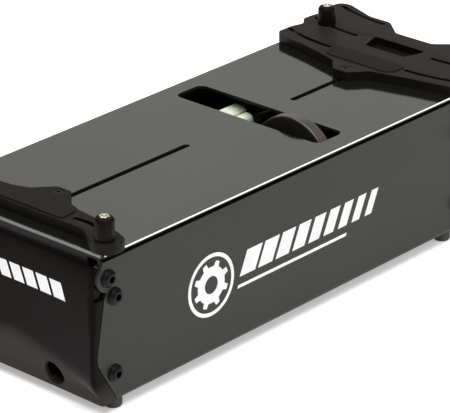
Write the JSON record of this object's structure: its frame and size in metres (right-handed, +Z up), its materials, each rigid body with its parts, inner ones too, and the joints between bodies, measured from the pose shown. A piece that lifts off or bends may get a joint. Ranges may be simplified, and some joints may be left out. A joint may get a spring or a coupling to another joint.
{
  "type": "engine starter box",
  "caption": "Starter box for 1/8 model cars: sheet metal box with black end caps, a sprung top plate, two sliding chassis brackets and a belt-driven rubber wheel.",
  "frame": {"origin": "middle of the footprint of the whole object, on the ground", "axes": "X along the box, from the front end cap (-X) to the rear bracket (+X); Y across the box; Z up"},
  "size_m": [0.3892, 0.1548, 0.1195],
  "materials": {
    "sheet_metal": "satin grey anodised sheet with fine brushing",
    "cap_plastic": "glossy black moulding",
    "bracket_plastic": "black glass-filled nylon",
    "pad_plastic": "softer black pad, fine texture",
    "black_steel": "black oxide",
    "bright_steel": "zinc plated",
    "bearing_steel": "ground and polished",
    "rubber_black": "black rubber",
    "tyre_rubber": "dense black rubber, polished by use",
    "frame_alloy": "black powder coat",
    "pulley_alloy": "turned",
    "motor_steel": "drawn steel can",
    "moulded_black": "moulded black plastic",
    "shrink_blue": "blue shrink film",
    "strap_black": "woven strap",
    "nylon_white": "natural nylon",
    "wire_red": "silicone insulation",
    "wire_black": "silicone insulation",
    "brass": "plain brass",
    "button_red": "moulded red plastic"
  },
  "bodies": {
    "box": {"chassis_channel": "sheet_metal", "front_end_cap": "cap_plastic", "rear_end_cap": "cap_plastic", "cap_screws": "black_steel", "guide_screws": "black_steel", "guide_nuts": "bright_steel", "rubber_feet": "rubber_black", "foot_screws": "bright_steel", "front_bulkhead": "frame_alloy", "rear_bulkhead": "frame_alloy", "bulkhead_screws": "black_steel", "wheel_bearings": "bearing_steel", "motor_can": "motor_steel", "motor_end_bell": "moulded_black", "motor_terminals": "brass", "motor_screws": "black_steel", "drive_belt": "rubber_black", "left_battery_pack": "shrink_blue", "right_battery_pack": "shrink_blue", "battery_straps": "strap_black", "pack_plugs": "nylon_white", "harness_sockets": "nylon_white", "red_leads": "wire_red", "black_leads": "wire_black", "switch_body": "moulded_black", "switch_screws": "bright_steel", "plate_springs": "black_steel"},
    "plate": {"top_plate": "sheet_metal", "front_hanger": "black_steel", "rear_hanger": "black_steel", "switch_pusher": "moulded_black"},
    "front_bracket_body": {"front_bracket": "bracket_plastic", "front_bracket_pad": "pad_plastic", "front_clamp_screw": "black_steel", "front_clamp_nut": "bright_steel"},
    "rear_bracket_body": {"rear_bracket": "bracket_plastic", "rear_bracket_pad": "pad_plastic", "rear_clamp_screw": "black_steel", "rear_clamp_nut": "bright_steel"},
    "wheel": {"drive_shaft": "bearing_steel", "shaft_collars": "black_steel", "wheel_hub": "black_steel", "wheel_tyre": "tyre_rubber", "wheel_pulley": "pulley_alloy"},
    "rotor": {"motor_shaft": "bearing_steel", "motor_pulley": "pulley_alloy"},
    "lever": {"switch_lever": "bright_steel"},
    "button": {"switch_button": "button_red"},
    "front_left_post_body": {"front_left_post": "moulded_black", "front_left_bolt": "bright_steel", "front_left_nut": "brass"},
    "front_right_post_body": {"front_right_post": "moulded_black", "front_right_bolt": "bright_steel", "front_right_nut": "brass"},
    "rear_left_post_body": {"rear_left_post": "moulded_black", "rear_left_bolt": "bright_steel", "rear_left_nut": "brass"},
    "rear_right_post_body": {"rear_right_post": "moulded_black", "rear_right_bolt": "bright_steel", "rear_right_nut": "brass"}
  },
  "joints": [
    {"name": "plate_press", "type": "slide", "parent": "box", "child": "plate", "axis": [0, 0, 1], "range_m": [-0.002, 0], "stiffness_N_per_m": 12000, "springref_m": 0.003, "deforming": ["plate_springs"]},
    {"name": "front_bracket_slide", "type": "slide", "parent": "plate", "child": "front_bracket_body", "axis": [1, 0, 0], "range_m": [-0.0015, 0.07]},
    {"name": "rear_bracket_slide", "type": "slide", "parent": "plate", "child": "rear_bracket_body", "axis": [1, 0, 0], "range_m": [-0.045, 0.0035]},
    {"name": "wheel_spin", "type": "hinge", "parent": "box", "child": "wheel", "pos_m": [0.02465, -0.0285, 0.0757], "axis": [1, 0, 0], "continuous": true},
    {"name": "motor_spin", "type": "hinge", "parent": "box", "child": "rotor", "pos_m": [0.03465, 0.026, 0.059], "axis": [1, 0, 0], "continuous": true},
    {"name": "switch_lever_swing", "type": "hinge", "parent": "box", "child": "lever", "pos_m": [-0.00155, 0.0315, 0.0871], "axis": [1, 0, 0], "range_deg": [-4.5, 0]},
    {"name": "switch_button_travel", "type": "slide", "parent": "box", "child": "button", "axis": [0, 0, 1], "range_m": [-0.0005, 0]},
    {"name": "front_left_post_slide", "type": "hinge", "parent": "front_bracket_body", "child": "front_left_post_body", "pos_m": [-0.20085, 0.0405, 0.105], "axis": [0, 0, 1], "range_deg": [-57, 1.5]},
    {"name": "rear_left_post_slide", "type": "hinge", "parent": "rear_bracket_body", "child": "rear_left_post_body", "pos_m": [0.26415, 0.03, 0.105], "axis": [0, 0, 1], "range_deg": [-6, 14]},
    {"name": "front_right_post_slide", "type": "hinge", "parent": "front_bracket_body", "child": "front_right_post_body", "pos_m": [-0.20085, -0.0405, 0.105], "axis": [0, 0, 1], "range_deg": [-1.5, 57]},
    {"name": "rear_right_post_slide", "type": "hinge", "parent": "rear_bracket_body", "child": "rear_right_post_body", "pos_m": [0.26415, -0.03, 0.105], "axis": [0, 0, 1], "range_deg": [-14, 6]}
  ],
  "couplings": [
    {"joint": "motor_spin", "follows": "wheel_spin", "ratio": 2},
    {"joint": "switch_lever_swing", "follows": "plate_press", "rad_per_m": 38.4},
    {"joint": "switch_button_travel", "follows": "plate_press", "ratio": 0.225}
  ]
}
